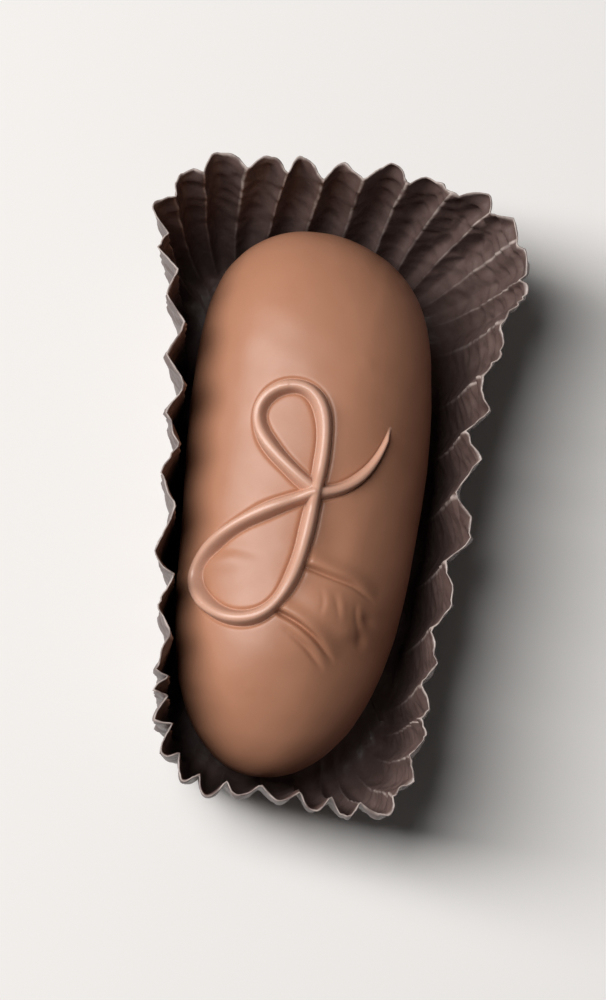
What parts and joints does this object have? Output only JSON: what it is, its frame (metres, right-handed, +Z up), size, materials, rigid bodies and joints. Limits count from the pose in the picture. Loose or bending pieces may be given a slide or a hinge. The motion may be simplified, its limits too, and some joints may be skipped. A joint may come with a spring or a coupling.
{
  "type": "chocolate-covered marzipan",
  "caption": "Finger of marzipan dipped in milk chocolate, with a looped thread of chocolate piped on top, lying in an oblong dark brown fluted paper case.",
  "frame": {"origin": "middle of the paper case's flat floor, on the surface that it stands on", "axes": "+Y along the paper case towards the finger's blunter end, +Z up, +X to the side that the finger bows to"},
  "size_m": [0.0343, 0.0596, 0.0199],
  "materials": {
    "milk_chocolate": "satin milk chocolate, softly glossy",
    "brown_paper": "dark brown greaseproof paper, slightly waxy"
  },
  "bodies": {
    "root": {"coated_marzipan": "milk_chocolate", "paper_case": "brown_paper"}
  },
  "joints": []
}
